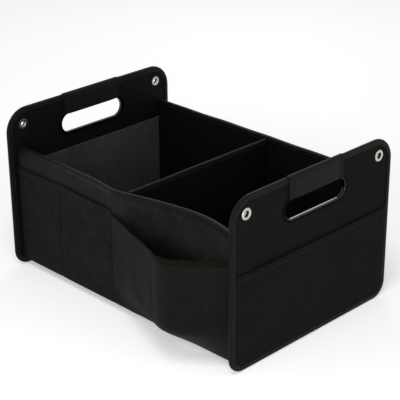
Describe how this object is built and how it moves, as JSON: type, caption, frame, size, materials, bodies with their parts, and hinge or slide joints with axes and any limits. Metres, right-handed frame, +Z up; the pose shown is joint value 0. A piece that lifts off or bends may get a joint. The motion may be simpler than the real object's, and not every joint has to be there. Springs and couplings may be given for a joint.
{
  "type": "car trunk organizer",
  "caption": "Black collapsible trunk organizer: tall end panels with handle slots and eyelets, lower walls, lift-out divider, flat front pocket and bulged net pocket.",
  "frame": {"origin": "under the middle of the whole outline, on the surface the feet stand on", "axes": "+X along the length to the near end, +Y from the pocket side to the back, +Z up"},
  "size_m": [0.5702, 0.4546, 0.3123],
  "materials": {
    "outer_fabric": "black ribbed polyester",
    "inner_fabric": "smooth black coated fabric",
    "grey_lining": "charcoal fabric",
    "binding_tape": "black woven tape",
    "handle_fabric": "smooth brownish black",
    "stiffener_board": "sewn-in plastic board",
    "glossy_trim": "glossy black edging",
    "nickel": "nickel-plated",
    "elastic_band": "dark olive-black elastic",
    "net": "black diamond net",
    "hook_and_loop": "black hook-and-loop tape"
  },
  "bodies": {
    "organizer": {"far_end_board": "stiffener_board", "far_end_outer_cover": "outer_fabric", "far_end_inner_cover": "inner_fabric", "far_end_binding": "binding_tape", "far_end_slip_pocket": "outer_fabric", "far_end_inner_pocket": "grey_lining", "far_handle_trim": "glossy_trim", "far_handle_wrap": "handle_fabric", "far_eyelet_front": "nickel", "far_washer_front": "nickel", "far_eyelet_back": "nickel", "far_washer_back": "nickel", "near_end_board": "stiffener_board", "near_end_outer_cover": "outer_fabric", "near_end_inner_cover": "inner_fabric", "near_end_binding": "binding_tape", "near_end_slip_pocket": "outer_fabric", "near_end_inner_pocket": "grey_lining", "near_handle_trim": "glossy_trim", "near_handle_wrap": "handle_fabric", "near_eyelet_front": "nickel", "near_washer_front": "nickel", "near_eyelet_back": "nickel", "near_washer_back": "nickel", "front_wall_board_far": "stiffener_board", "front_wall_board_mid": "stiffener_board", "front_wall_board_near": "stiffener_board", "front_wall_cover": "outer_fabric", "front_wall_lining": "inner_fabric", "front_wall_binding": "binding_tape", "front_loop_tape": "hook_and_loop", "back_wall_board_far": "stiffener_board", "back_wall_board_mid": "stiffener_board", "back_wall_board_near": "stiffener_board", "back_wall_cover": "outer_fabric", "back_wall_lining": "inner_fabric", "back_wall_binding": "binding_tape", "back_loop_tape": "hook_and_loop", "base_cover": "outer_fabric", "base_board_far": "stiffener_board", "base_board_near": "stiffener_board", "base_lining": "inner_fabric", "front_pocket_panel": "outer_fabric", "net_pocket_gusset": "outer_fabric", "net_pocket_net": "net", "net_pocket_band": "elastic_band"},
    "divider": {"divider_board": "stiffener_board", "divider_cover_far": "inner_fabric", "divider_cover_near": "inner_fabric", "divider_binding": "binding_tape", "divider_hook_front": "hook_and_loop", "divider_hook_back": "hook_and_loop"}
  },
  "joints": [
    {"name": "divider_lift", "type": "slide", "parent": "organizer", "child": "divider", "axis": [0, 0, 1], "range_m": [0, 0.24]}
  ]
}
